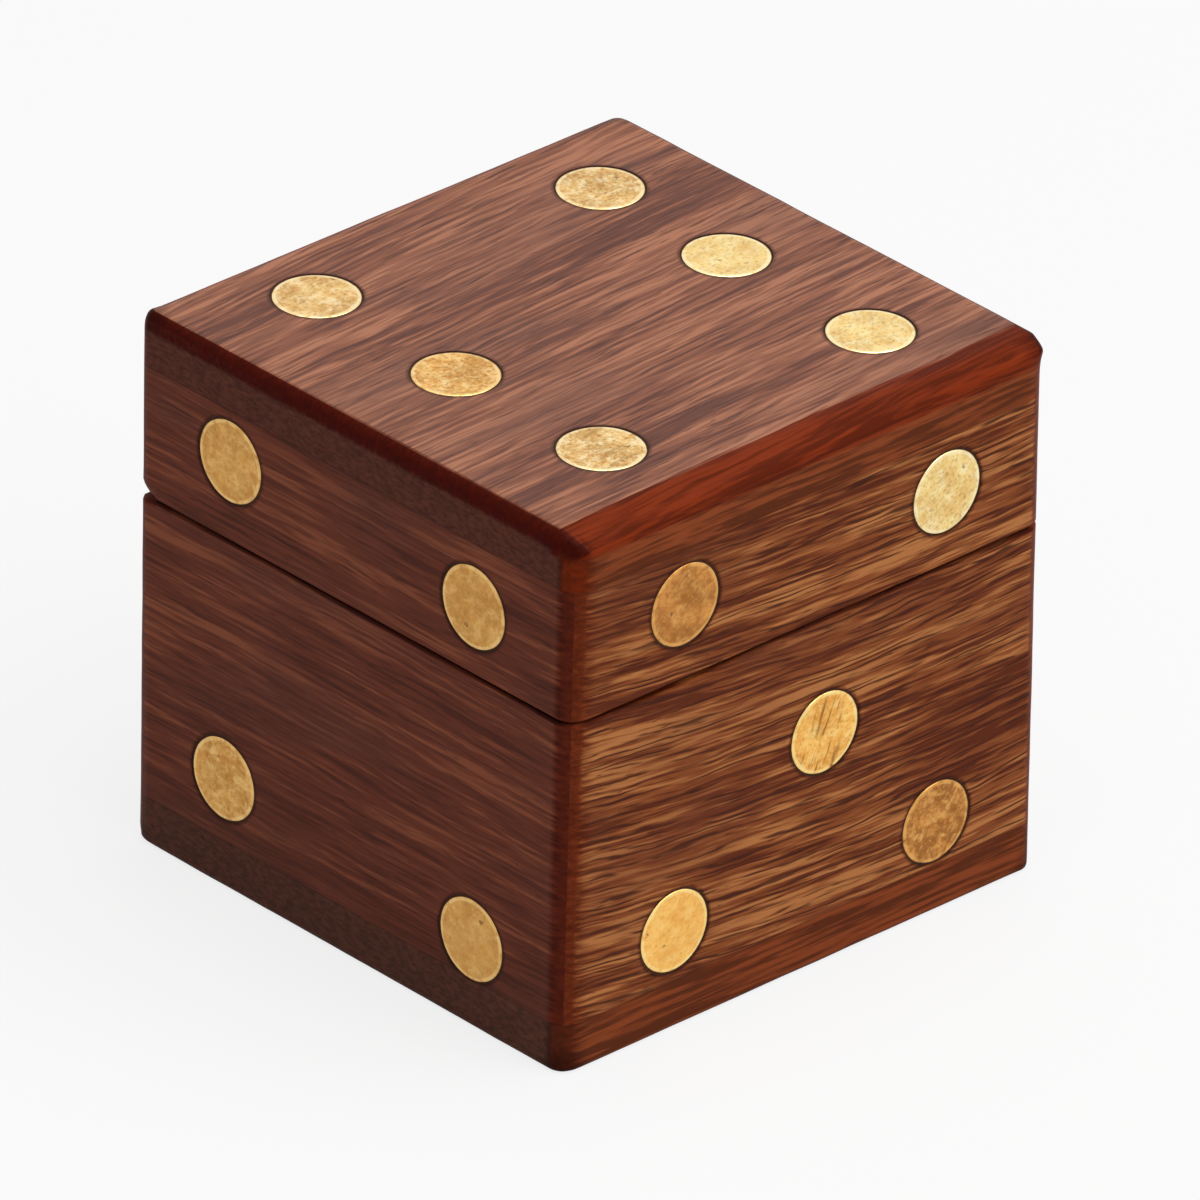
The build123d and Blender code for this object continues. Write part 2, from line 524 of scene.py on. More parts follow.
@dataclass(frozen=True)
class Rosewood:
    """Satin-lacquered rosewood, figured through the whole board.

    Attributes:
        name: material name.
        lay: how the board lies.
        tint: its colours.
        grain: its figure.
        sheen: weight of the lacquer on its flat faces.
        seed: moves all patterns.
        gloss: gloss of the wood itself.
        lacquer_rough: roughness of the lacquer.
        lacquer_depth: how deep in the box, in millimetres, the wood is left bare.
        relief_depth: depth of the grain's relief, in metres.
        pip_shade_reach: distances from a pip's middle between which the painted shade round it fades.
        seam_reach: distances from the seam between which its painted shade fades.
        joint_reach: distances from a joint between which its shade fades.
        corner_reach: summed depths between which the painted shade of the box's corners fades.
        end_painted_shade: painted shade that multiplies the worn colour on end grain.
        corner_painted_shade: painted shade that multiplies the colour at the box's corners.
        pip_painted_shade: painted shade that multiplies it round the pips.
        seam_painted_shade: painted shade that multiplies it at the seam.
        joint_shade: what multiplies it at the joints.
    """

    name: str
    lay: Lay
    tint: WoodTint
    grain: Grain
    sheen: float = 0.2
    seed: float = 0.0

    gloss = 0.03
    lacquer_rough = 0.32
    lacquer_depth = 6.2
    relief_depth = 0.00005
    pip_shade_reach = (5.05, 4.62)
    seam_reach = (0.45, 0.12)
    joint_reach = (0.20, 0.04)
    corner_reach = (5.2, 2.2)
    end_painted_shade = (0.80, 0.05, 0.02)
    corner_painted_shade = (0.30, 0.22, 0.22)
    pip_painted_shade = (0.30, 0.17, 0.11)
    seam_painted_shade = (0.22, 0.13, 0.10)
    joint_shade = (0.30, 0.20, 0.16)

    def material(self, outline: Outline, pips: Sequence[Vector]) -> bpy.types.Material:
        """Builds the material.

        Args:
            outline: outer faces and joints of the box.
            pips: middles of the pips let into the board, in millimetres.

        Returns:
            The material.
        """
        s = Shader(bpy.data.materials.new(self.name))
        spot = self._spot(s, outline)
        figure = self._figure(s, spot)
        calm = 0.5 + (figure.ribbons - 0.5) * 1.3 + (figure.threads - 0.5) * 1.8
        wood = self._faces(s, figure, spot, calm)
        # Sanded roundings and rubbed bands, coloured partly as worn wood and partly with painted shade
        # where they catch no sheen.
        worn = self._worn_and_shaded(figure, spot, outline)
        wood = s.mix(worn * 0.95, wood, self._worn_and_shaded_wood(s, spot, outline, calm))
        # Painted shade at the box's corners.
        wood = s.mix(spot.corner_depth.step(*self.corner_reach) * 0.65, wood, self.corner_painted_shade,
                     "MULTIPLY")
        wood = self._dark_joints_and_painted_shade(s, wood, spot, outline, pips)

        relief = ((figure.threads * 0.45 + figure.hairs * 0.2 + 0.4) - figure.pores * 0.5
                  - figure.flecks * 0.15)
        rough = (0.40 + (figure.hairs - 0.5) * 0.16 + figure.pores * 0.22
                 + spot.depth.step(2.0, self.lacquer_depth) * 0.2)
        return s.finish(Base_Color=wood, Roughness=rough.clamped(),
                        Normal=s.bump(relief, self.relief_depth),
                        Specular_IOR_Level=self.gloss, Coat_Roughness=self.lacquer_rough,
                        Coat_Weight=spot.through.step(0.90, 0.99) * (1.0 - worn) * self.sheen)

    def _spot(self, s: Shader, outline: Outline) -> Spot:
        """Where a point lies in the box and how it faces in the board.

        Args:
            s: shader of the material.
            outline: outer faces of the box.

        Returns:
            Its place, facing and depths.
        """
        place = s.place()
        x, y, z = s.parts(place)
        facing = (abs(part) for part in self.lay.order(s.parts(s.facing())))
        return Spot(place, x, y, z, *facing, *outline.depths(x, y, z))

    def _figure(self, s: Shader, spot: Spot) -> Figure:
        """The figure of the wood at a point.

        Args:
            s: shader of the material.
            spot: the point.

        Returns:
            The layers of the figure.
        """
        grain = self.grain
        run = self._run(s, *self.lay.order((spot.x, spot.y, spot.z)))
        zones = self._streaks(s, run, 0.014, 0.16, 0)
        ribbons = self._streaks(s, run, 0.035, 0.60, 1, detail=3.0, rough=0.6)
        threads = self._streaks(s, run, 0.10, 2.0, 2, rough=0.55)
        hairs = self._streaks(s, run, 0.34, 4.8, 0, rough=0.6)
        tone = (0.5 + (zones - 0.5) * grain.zones + (ribbons - 0.5) * grain.ribbons
                + (threads - 0.5) * grain.threads + (hairs - 0.5) * grain.hairs)
        for middle, half, change in grain.belts:
            tone = tone + abs(run[1] - middle).step(half * 1.6, half * 0.3) * change
        return Figure(tone, ribbons, threads, hairs, self._streaks(s, run, 0.03, 0.09, 1),
                      self._flecks(s, run, zones), self._lines(s, run), self._pores(s, run))

    def _run(self, s: Shader, u: Value, v: Value, w: Value) -> tuple[Value, Value, Value]:
        """Bends the coordinate across the grain with the grain's bends and waves.

        Args:
            s: shader of the material.
            u: place along the board, in millimetres.
            v: place across its face.
            w: place through it.

        Returns:
            Place along the grain, across it and through the board.
        """
        grain = self.grain
        sway = self._streaks(s, (u, v, w), 0.018, 0.05, 0) - 0.5
        ripple = self._streaks(s, (u, v, w), 0.13, 0.35, 1) - 0.5
        away = u - grain.crest
        across = (v + u * grain.tilt - away * away * grain.bend + sway * grain.sway
                  + ripple * grain.ripple)
        return u, across, w

    def _streaks(self, s: Shader, run: Sequence[Value], lengthwise: float, crosswise: float,
                 moved: int, detail: float = 2.0, rough: float = 0.5) -> Value:
        """Noise that is drawn out along the grain.

        Args:
            s: shader of the material.
            run: place along the grain, across it and through the board.
            lengthwise: how often it changes in a millimetre along the grain.
            crosswise: how often it changes in a millimetre across the grain and through the board.
            moved: which of the three places the seed moves, 0 to 2.
            detail: number of finer layers.
            rough: how strong the finer layers are.

        Returns:
            The noise, 0 to 1.
        """
        places = [run[0] * lengthwise, run[1] * crosswise, run[2] * crosswise]
        places[moved] = places[moved] + self.seed
        return s.cloud(s.vector(*places), detail=detail, rough=rough)

    def _lines(self, s: Shader, run: Sequence[Value]) -> Value:
        """Thin dark growth lines that wander, close up and break off.

        Args:
            s: shader of the material.
            run: place along the grain, across it and through the board.

        Returns:
            The lines, 0 to 1.
        """
        warp = self._streaks(s, run, 0.05, 0.42, 0, detail=3.0, rough=0.55) - 0.5
        line = ((run[1] * 1.35 + run[2] * 0.9 + warp * 4.0) * (2 * math.pi)).sine().step(0.0, 0.95)
        return line * self._streaks(s, run, 0.10, 1.0, 1).step(0.40, 0.56)

    def _flecks(self, s: Shader, run: Sequence[Value], zones: Value) -> Value:
        """Dark flecks of uneven length, in loose swarms.

        Args:
            s: shader of the material.
            run: place along the grain, across it and through the board.
            zones: wide bands, of which the dark ones hold more flecks.

        Returns:
            The flecks, 0 to 1.
        """
        marks = self._streaks(s, run, 0.17, 2.3, 0, detail=3.0, rough=0.55)
        swarm = self._streaks(s, run, 0.05, 0.22, 2, detail=1.0)
        return marks.step(0.56, 0.68) * (swarm + (0.5 - zones) * 0.6).step(0.36, 0.60)

    def _pores(self, s: Shader, run: Sequence[Value]) -> Value:
        """Open pores as short thin dashes along the grain.

        Args:
            s: shader of the material.
            run: place along the grain, across it and through the board.

        Returns:
            The pores, 0 to 1.
        """
        u, v, w = run
        near = s.cells(s.vector(u / 3.4 + self.seed, v / 0.42, w / 0.42))
        thick = s.cloud(s.vector(u * 0.3, v * 1.2, w * 1.2), detail=1.0).step(0.45, 0.65) * 0.24
        return (thick - near).step(0.0, 0.10)

    def _faces(self, s: Shader, figure: Figure, spot: Spot, calm: Value) -> Value:
        """Colour of the board where it isn't worn.

        Args:
            s: shader of the material.
            figure: figure of the wood.
            spot: the point.
            calm: softer tone for long edges, 0 to 1.

        Returns:
            The colour of its figured faces, its long edges and its end grain.
        """
        tint, grain = self.tint, self.grain
        wood = s.ramp(figure.tone, [(0.12, tint.dark), (0.5, tint.middle), (0.88, tint.light)])
        wood = s.mix(figure.patch.step(0.47, 0.66) * 0.5, wood, tint.cast)
        for marks in (figure.lines * grain.lines, figure.flecks * grain.flecks,
                      figure.pores * grain.pores):
            wood = s.mix(marks, wood, tint.streak)
        if tint.edges is not None:
            wood = s.mix(spot.across.step(0.35, 0.75), wood, self._shades(s, calm, tint.edges, 0.4))
        if tint.ends is not None:
            dots = s.cloud(s.scaled(spot.place, (0.4, 1.1, 2.6)), detail=3.0, rough=0.6)
            wood = s.mix(spot.along.step(0.35, 0.75), wood, self._shades(s, dots, tint.ends, 0.35))
        return wood

    def _worn_and_shaded(self, figure: Figure, spot: Spot, outline: Outline) -> Value:
        """Where the board's roundings are sanded and its edges rubbed, which also takes painted shade
        where they catch no sheen.

        Args:
            figure: figure of the wood, which makes the borders waver.
            spot: the point.
            outline: outer faces of the box.

        Returns:
            1 where it is worn and painted shaded, and 0 where it isn't.
        """
        stray = figure.threads - 0.5
        turned = 1.0 - spot.along.most(spot.across).most(spot.through)
        sanded = ((turned + stray * 0.08 * turned.step(0.001, 0.03)).step(0.003, 0.075)
                  * spot.next_depth.step(5.4, 4.6))
        rubbed = outline.rubbed(spot.x, spot.y, spot.z, stray * 1.6) * spot.depth.step(1.6, 0.8)
        return sanded.most(rubbed)

    def _worn_and_shaded_wood(self, s: Shader, spot: Spot, outline: Outline, calm: Value) -> Value:
        """Colour of the board where it is worn, partly painted shade where it catches no sheen.

        Args:
            s: shader of the material.
            spot: the point.
            outline: outer faces of the box.
            calm: softer tone of the wood, 0 to 1.

        Returns:
            The colour, deeper towards end grain, with painted shade on end grain.
        """
        level = 1.0 - spot.across.step(0.05, 0.30) * spot.through.step(0.40, 0.10)
        calm = 0.5 + (calm - 0.5) * spot.along.step(0.60, 0.05).most(0.3)
        deep = s.mix(spot.along.step(0.04, 0.25) * level, self._shades(s, calm, self.tint.worn, 0.35),
                     self._shades(s, calm, self.tint.worn_and_shaded_ends, 0.4))
        # Painted shade on the end grain of the roundings, where a rounding turns down into the end.
        ends = spot.along.step(0.80, 0.96) * level * (outline.half_y - abs(spot.y)).step(1.6, 3.2)
        return s.mix(ends * 0.6, deep, self.end_painted_shade, "MULTIPLY")

    def _shades(self, s: Shader, tone: Value, colour: Colour, spread: float) -> Value:
        """A colour that varies with a tone from 0 to 1, by a spread that is a share of it."""
        low, high = (tuple(part * factor for part in colour) for factor in (1 - spread, 1 + spread))
        return s.ramp(tone, [(0.25, low), (0.75, high)])

    def _dark_joints_and_painted_shade(self, s: Shader, wood: Value, spot: Spot, outline: Outline,
                pips: Sequence[Vector]) -> Value:
        """Darkens the board with painted shade round its pips and at the seam, and darkens its joints.

        Args:
            s: shader of the material.
            wood: colour of the board.
            spot: the point.
            outline: joints of the box.
            pips: middles of the pips let into the board, in millimetres.

        Returns:
            The darkened colour.
        """
        # Painted shade round each pip.
        wood = s.mix(self._shade_round_pips(s, spot.place, pips) * 0.8, wood, self.pip_painted_shade, "MULTIPLY")
        shallow = spot.depth.step(0.45, 0.2)
        # Painted shade along the seam between lid and base.
        seam = abs(spot.z - outline.seam).step(*self.seam_reach) * shallow
        wood = s.mix(seam * 0.8, wood, self.seam_painted_shade, "MULTIPLY")
        lower, upper = (abs(spot.z - height) for height in outline.joints)
        joint = lower.least(upper).step(*self.joint_reach) * shallow
        return s.mix(joint * 0.35, wood, self.joint_shade, "MULTIPLY")

    def _shade_round_pips(self, s: Shader, place: Value, pips: Sequence[Vector]) -> Value:
        """Painted shade that darkens the wood round each pip.

        Args:
            s: shader of the material.
            place: the point, in millimetres.
            pips: middles of the pips, at least one.

        Returns:
            The painted shade, 0 to 1.
        """
        near = reduce(Value.least, (
            s.node("ShaderNodeVectorMath", {"operation": "DISTANCE"}, {0: place, 1: tuple(pip)}, "Value")
            for pip in pips))
        ragged = s.cloud(s.scaled(place, (1.4, 1.4, 1.4)), detail=3.0, rough=0.65) - 0.5
        return (near + ragged * 0.5).step(*self.pip_shade_reach)


@dataclass(frozen=True)
class PipBrass:
    """Brass disc rubbed down with the wood: brushed, mottled and slightly tarnished.

    Attributes:
        name: material name.
        tint: colour of the clean metal.
        tarnish: colour of the mottled patches.
        glint: colour of the brightest spots, and of the rim, where it is a painted highlight.
        patina: how much of the disc is mottled, 0 to 1.
        angle: direction of the scratches on the disc, in radians.
        scratches: strength of the scratches, 0 to 1.
        seed: moves all patterns.
        brown: colour of the darkest tarnish.
        warm_cast: what multiplies the colour of its warmer patches.
        pit_tint: colour of its pits.
        rim_highlight_radius: distance from the middle of the polished rim and its painted highlight, in
            millimetres.
        relief_depth: depth of its scratches, in metres.
    """

    name: str
    tint: Colour
    tarnish: Colour
    glint: Colour
    patina: float
    angle: float
    scratches: float
    seed: float

    brown = linear(150, 98, 44)
    warm_cast = (1.0, 0.90, 0.77)
    pit_tint = (0.20, 0.12, 0.05)
    rim_highlight_radius = 4.2
    relief_depth = 0.00005

    def material(self) -> bpy.types.Material:
        """Builds the material in the disc's own frame, with its face towards +Z.

        Returns:
            The material.
        """
        s = Shader(bpy.data.materials.new(self.name))
        x, y, z = s.parts(s.place())
        across, up, deep = x + (self.seed * 1.7 + 11.3), y + (self.seed * 2.9 + 5.7), z + 3.1
        turn_x = across * math.cos(self.angle) + up * math.sin(self.angle)
        turn_y = up * math.cos(self.angle) - across * math.sin(self.angle)
        clouds = s.cloud(s.vector(across * 0.30, up * 0.30, deep), detail=2.0)
        warmth = s.cloud(s.vector(up * 0.55, deep, across * 0.55), detail=3.0, rough=0.6)
        mottle = s.cloud(s.vector(across * 0.85, up * 0.85, deep * 0.7), detail=4.0, rough=0.6,
                         twist=0.4)
        specks = s.cloud(s.vector(across * 2.4, up * 2.4, deep), detail=3.0, rough=0.6)
        grooves = s.cloud(s.vector(turn_x * 0.16, turn_y * 1.6, deep), detail=4.0, rough=0.65)
        hair = s.cloud(s.vector(turn_x * 0.5, turn_y * 13.0, deep), detail=3.0, rough=0.6)
        pits = ((0.13 - s.cells(s.vector(across * 0.35, up * 0.35, deep))).step(0.0, 0.06)
                * specks.step(0.42, 0.55))

        patina = self.patina
        metal = s.mix(clouds.step(0.34, 0.66) * (0.3 + 0.7 * patina), self.tint, self.tarnish)
        metal = s.mix(mottle.step(0.52, 0.32) * patina * 0.9, metal, self.glint)
        metal = s.mix(mottle.step(0.48, 0.68) * patina, metal, self.tarnish)
        metal = s.mix(specks.step(0.50, 0.70) * patina * 0.7, metal, self.brown)
        metal = s.mix(specks.step(0.48, 0.30) * patina * 0.5, metal, self.glint)
        metal = s.mix(warmth.step(0.44, 0.62) * (0.3 + 0.5 * patina), metal, self.warm_cast, "MULTIPLY")
        scratched = grooves.step(0.50, 0.36) * clouds.step(0.40, 0.60) * self.scratches
        metal = s.mix(scratched, metal, self.brown)
        metal = s.mix(hair.step(0.50, 0.75) * 0.3, metal, self.tarnish)
        metal = s.mix(pits * 0.75, metal, self.pit_tint)
        # Painted highlight along the rim, on metal that is partly polished paler there.
        off_rim_highlight = abs((x * x + y * y).root() - self.rim_highlight_radius)
        metal = s.mix(off_rim_highlight.step(0.28, 0.10) * mottle.step(0.74, 0.44) * 0.75, metal, self.glint)
        relief = grooves * 0.5 + hair * 0.3 + mottle * 0.5 * patina - pits * 0.6
        normal = s.bump(relief, self.relief_depth)
        rough = 0.34 + (mottle - 0.5) * 0.35 + (hair - 0.5) * 0.15 + pits * 0.3
        return s.finish(Base_Color=metal, Metallic=1.0, Roughness=rough.clamped(), Normal=normal)


@dataclass(frozen=True)
class HingeBrass:
    """Dull stamped brass of the hinges, mottled and drawn lengthwise.

    Attributes:
        name: material name.
        tint: colour of the metal.
        dull: colour of its dull patches.
        bright: colour of its drawn lines.
        relief_depth: depth of its relief, in metres.
    """

    name: str = "hinge_brass"
    tint: Colour = (0.60, 0.39, 0.15)
    dull: Colour = (0.30, 0.18, 0.07)

    bright = (0.80, 0.60, 0.30)
    relief_depth = 0.00003

    def material(self) -> bpy.types.Material:
        """Builds the material.

        Returns:
            The material.
        """
        s = Shader(bpy.data.materials.new(self.name))
        x, y, z = s.parts(s.place())
        mottle = s.cloud(s.vector(x * 0.9, y * 0.9, z * 0.9), detail=5.0, rough=0.7)
        drawn = s.cloud(s.vector(x * 0.5, y * 9.0, z * 9.0), detail=3.0, rough=0.6)
        metal = s.mix(mottle.step(0.40, 0.66) * 0.7, self.tint, self.dull)
        metal = s.mix(drawn.step(0.5, 0.75) * 0.25, metal, self.bright)
        normal = s.bump(drawn * 0.6 + mottle * 0.4, self.relief_depth)
        rough = 0.38 + (mottle - 0.5) * 0.3
        return s.finish(Base_Color=metal, Metallic=1.0, Roughness=rough.clamped(), Normal=normal)


@dataclass(frozen=True)
class GlueLine:
    """Hardened dark glue and sanding dust round a pip.

    Attributes:
        name: material name.
        tint: colour of the glue.
        dust: colour of the sanding dust in it.
        relief_depth: depth of its relief, in metres.
    """

    name: str = "glue_line"
    tint: Colour = (0.045, 0.018, 0.008)
    dust: Colour = (0.085, 0.036, 0.015)

    relief_depth = 0.00003

    def material(self) -> bpy.types.Material:
        """Builds the material.

        Returns:
            The material.
        """
        s = Shader(bpy.data.materials.new(self.name))
        x, y, z = s.parts(s.place())
        grain = s.cloud(s.vector(x * 6.0, y * 6.0, z * 6.0), detail=3.0, rough=0.7)
        tint = s.mix(grain.step(0.4, 0.7) * 0.7, self.tint, self.dust)
        return s.finish(Base_Color=tint, Roughness=0.7, Normal=s.bump(grain, self.relief_depth),
                        Specular_IOR_Level=0.1)


# ---------------------------------------------------------------------------------------------------
# Shapes

SHARP_ANGLE = math.radians(38)
COPLANAR_ANGLE = math.radians(0.05)
SQUARE_COSINE = 0.99998
NORMAL_WEIGHT = 80
WELD_DISTANCE = 1e-6
CUT_DISTANCE = 1e-7


def swell(x: float, y: float, z: float) -> float:
    """Smooth noise at a place, from about -1 to 1."""
    return noise.noise(Vector((x, y, z)))


def placed(name: str, data: bpy.types.ID) -> bpy.types.Object:
    """Puts a mesh, lamp or camera into the scene.

    Args:
        name: name of the new object.
        data: what it shows.

    Returns:
        The object.
    """
    thing = bpy.data.objects.new(name, data)
    bpy.context.scene.collection.objects.link(thing)
    return thing


def new_piece(name: str, bm: bmesh.types.BMesh, material: bpy.types.Material) -> bpy.types.Object:
    """Turns a bmesh into a named object with one material.

    Args:
        name: name of the piece.
        bm: its geometry, which is freed.
        material: its finish.

    Returns:
        The object, smooth between its sharp edges.
    """
    mesh = bpy.data.meshes.new(name)
    bm.to_mesh(mesh)
    bm.free()
    mesh.shade_smooth()
    mesh.set_sharp_from_angle(angle=SHARP_ANGLE)
    mesh.materials.append(material)
    return placed(name, mesh)


def keep_flats(piece: bpy.types.Object) -> None:
    """Shades the faces that lie square to the box as exactly flat.

    Args:
        piece: the piece.
    """
    for polygon in piece.data.polygons:
        if max(abs(part) for part in polygon.normal) > SQUARE_COSINE:
            polygon.use_smooth = False


def even_normals(piece: bpy.types.Object) -> None:
    """Keeps a piece's flat faces flat beside rounded ones.

    Args:
        piece: the piece.
    """
    weighted = piece.modifiers.new("even_normals", "WEIGHTED_NORMAL")
    weighted.keep_sharp = True
    weighted.weight = NORMAL_WEIGHT


def copy_of(node: str) -> bmesh.types.BMesh:
    """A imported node's geometry as one welded surface.

    Args:
        node: name of the node.

    Returns:
        The bmesh, with its flat faces joined up.
    """
    bm = bmesh.new()
    bm.from_mesh(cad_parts[node].data)
    bmesh.ops.remove_doubles(bm, verts=bm.verts, dist=WELD_DISTANCE)
    bmesh.ops.dissolve_limit(bm, angle_limit=COPLANAR_ANGLE, verts=bm.verts, edges=bm.edges)
    return bm


def pip_place(node: str) -> tuple[Matrix, float, float]:
    """Where a pip lies.

    Args:
        node: name of the pip's node.

    Returns:
        The frame of its outer face, with +Z outward, and its radius and thickness in millimetres.
    """
    low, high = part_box(node)
    size = high - low
    axis = min(range(3), key=lambda index: size[index])
    place = (low + high) / 2
    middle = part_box("lid_top")[1].z / 2 if axis == 2 else 0.0
    side = 1.0 if place[axis] > middle else -1.0
    out = Vector([side if index == axis else 0.0 for index in range(3)])
    place[axis] = high[axis] if side > 0 else low[axis]
    turn = out.to_track_quat("Z", "Y").to_matrix().to_4x4()
    return Matrix.Translation(place) @ turn, max(size) / 2 / MM, size[axis] / MM


@dataclass(frozen=True)
class SandedEdge:
    """One outer edge and how far hand sanding has rounded it.

    Attributes:
        axes: the two axes across the edge, 0 to 2.
        sides: which end of each of those axes the edge is at, -1 or 1.
        cut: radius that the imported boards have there, in millimetres.
        start: how far the rounding reaches along each of those axes at the edge's low end.
        end: the same at its high end.
        drift: how far the sanding wanders from that.
        fullness: 2 for a round edge, less for a flatter bevel.
        reach: how deep the edge's zone goes, in millimetres; points further in stay where they are.
        zone_slack: how near the zone's border a point counts as outside it.
        face_slack: how far outside the box a point may lie.
        swells: how often the sanding wanders in a millimetre, broadly and finely.
        least: smallest extent that it wanders to.
        spare: what the rounding always leaves of the zone.
        full_share: share of the zone that lies within every rounding.
        halvings: steps in which the skin is searched for.
    """

    axes: tuple[int, int]
    sides: tuple[int, int]
    cut: float
    start: tuple[float, float]
    end: tuple[float, float]
    drift: float = 0.15
    fullness: float = 2.0

    reach = 5.2
    zone_slack = 1e-6
    face_slack = 0.01
    swells = (0.075, 0.21)
    least = 0.4
    spare = 0.5
    full_share = 0.55
    halvings = 15

    def worked(self, point: Vector, low: Vector, high: Vector) -> Vector:
        """Moves a point of a board with the edge.

        Args:
            point: the point, in metres.
            low: lowest corner of the box.
            high: highest corner of the box.

        Returns:
            The moved point.
        """
        depths = [((high[axis] - point[axis]) if side > 0 else (point[axis] - low[axis])) / MM
                  for axis, side in zip(self.axes, self.sides)]
        if max(depths) >= self.reach - self.zone_slack or min(depths) < -self.face_slack:
            return point
        u, v = self.reach - depths[0], self.reach - depths[1]
        wanted = self._extents(point, low, high)
        factor = self._skin(u, v, wanted, self.fullness) / self._skin(u, v, (self.cut, self.cut), 2.0)
        moved = point.copy()
        for axis, side, arm in zip(self.axes, self.sides, (u, v)):
            moved[axis] -= side * arm * (1 - factor) * MM
        return moved

    def _extents(self, point: Vector, low: Vector, high: Vector) -> tuple[float, float]:
        """How far the rounding reaches at a point's place along the edge.

        Args:
            point: the point, in metres.
            low: lowest corner of the box.
            high: highest corner of the box.

        Returns:
            Its extents along both axes, in millimetres.
        """
        run_axis = 3 - sum(self.axes)
        share = (point[run_axis] - low[run_axis]) / (high[run_axis] - low[run_axis])
        run = point[run_axis] / MM
        seed = self.axes[0] * 7.1 + self.axes[1] * 3.3 + self.sides[0] * 1.7 + self.sides[1] * 0.9
        broad, fine = self.swells
        wander = swell(run * broad, seed, 0.0) + 0.5 * swell(run * fine, seed, 7.0)
        return tuple(min(max(first + (last - first) * share + self.drift * wander, self.least),
                         self.reach - self.spare)
                     for first, last in zip(self.start, self.end))

    def _skin(self, u: float, v: float, extents: tuple[float, float], fullness: float) -> float:
        """Distance from the zone's inner corner to the rounded skin along a direction.

        Args:
            u: first part of the direction.
            v: second part of the direction.
            extents: how far the rounding reaches along each axis.
            fullness: power of the rounding's curve.

        Returns:
            The distance, in millimetres.
        """
        length = math.hypot(u, v)
        u_part, v_part = u / length, v / length
        first, second = extents

        def outside(distance: float) -> float:
            """Above 1 beyond the skin, below 1 inside it."""
            return (max(distance * u_part - self.reach + first, 0.0) / first) ** fullness + (
                max(distance * v_part - self.reach + second, 0.0) / second) ** fullness

        far = self.reach / max(u_part, v_part)
        near = far * self.full_share
        if outside(far) <= 1 + 1e-9:
            return far
        for _ in range(self.halvings):
            middle = (near + far) / 2
            near, far = (middle, far) if outside(middle) < 1 else (near, middle)
        return far


